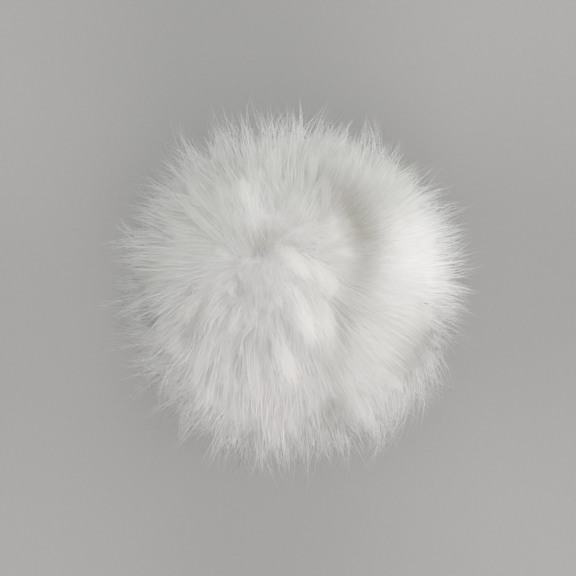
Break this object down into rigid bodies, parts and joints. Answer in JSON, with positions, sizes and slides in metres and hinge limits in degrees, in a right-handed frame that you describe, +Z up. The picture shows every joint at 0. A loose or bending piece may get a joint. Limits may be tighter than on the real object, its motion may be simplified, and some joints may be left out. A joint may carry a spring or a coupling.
{
  "type": "fur pom pom",
  "caption": "Round white fur pom pom: a dense soft ball of underfur with pointed locks of longer hair combed away from a parting, resting on a small flat spot.",
  "frame": {"origin": "middle of the flat spot under the ball, on the surface that it rests on", "axes": "+Z up, out of the best side of the fur; seen from above with +Y at the top, +X is the fuller right-hand side; -Z is the flat spot's outward normal"},
  "size_m": [0.0912, 0.0906, 0.0793],
  "materials": {
    "white_fur": "soft matt fur, slightly glossy hair tips"
  },
  "bodies": {
    "root": {"fur_ball": "white_fur"}
  },
  "joints": []
}
